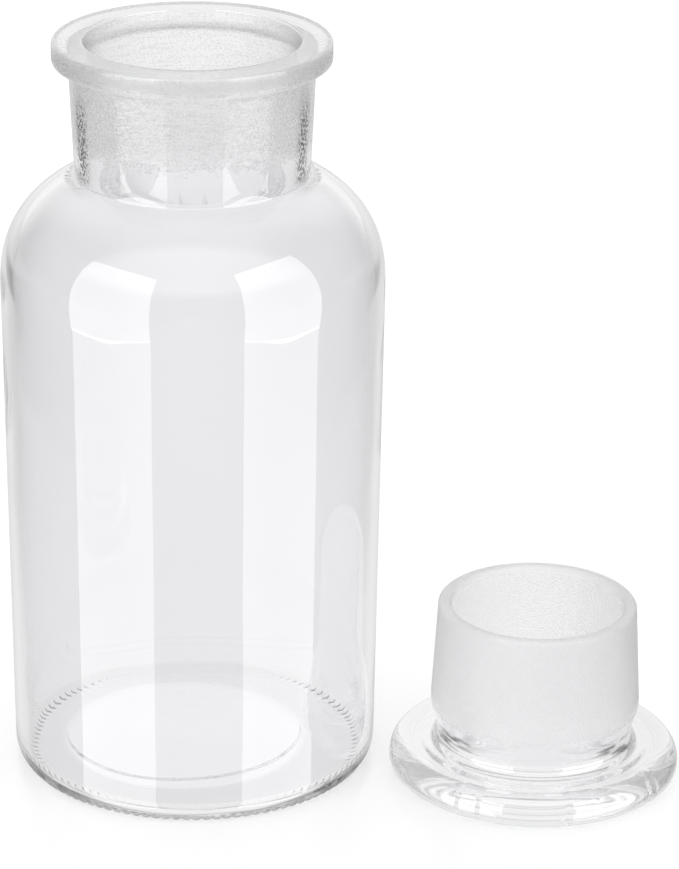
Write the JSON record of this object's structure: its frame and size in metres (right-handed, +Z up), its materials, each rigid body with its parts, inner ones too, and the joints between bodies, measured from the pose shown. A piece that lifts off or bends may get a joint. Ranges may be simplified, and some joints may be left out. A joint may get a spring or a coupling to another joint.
{
  "type": "reagent bottle",
  "caption": "Wide-mouth clear glass reagent bottle with a ground neck, and its hollow ground glass stopper standing upside down beside it.",
  "frame": {"origin": "centre of the bottle's base, on its axis, in the plane it stands on", "axes": "+Z up along the bottle's axis to its mouth; the stopper lies towards +X and a little towards -Y"},
  "size_m": [0.1515, 0.0853, 0.1675],
  "materials": {
    "clear_glass": "clear moulded soda-lime glass, polished; matt ground inside the neck, fine satin on the rim",
    "stopper_glass": "clear pressed soda-lime glass; matt ground on the plug's taper and lip"
  },
  "bodies": {
    "bottle_body": {"bottle": "clear_glass"},
    "stopper_body": {"stopper": "stopper_glass"}
  },
  "joints": [
    {"name": "stopper_lift", "type": "slide", "parent": "bottle_body", "child": "stopper_body", "axis": [0, 0, 1], "range_m": [0, 0.18]}
  ]
}
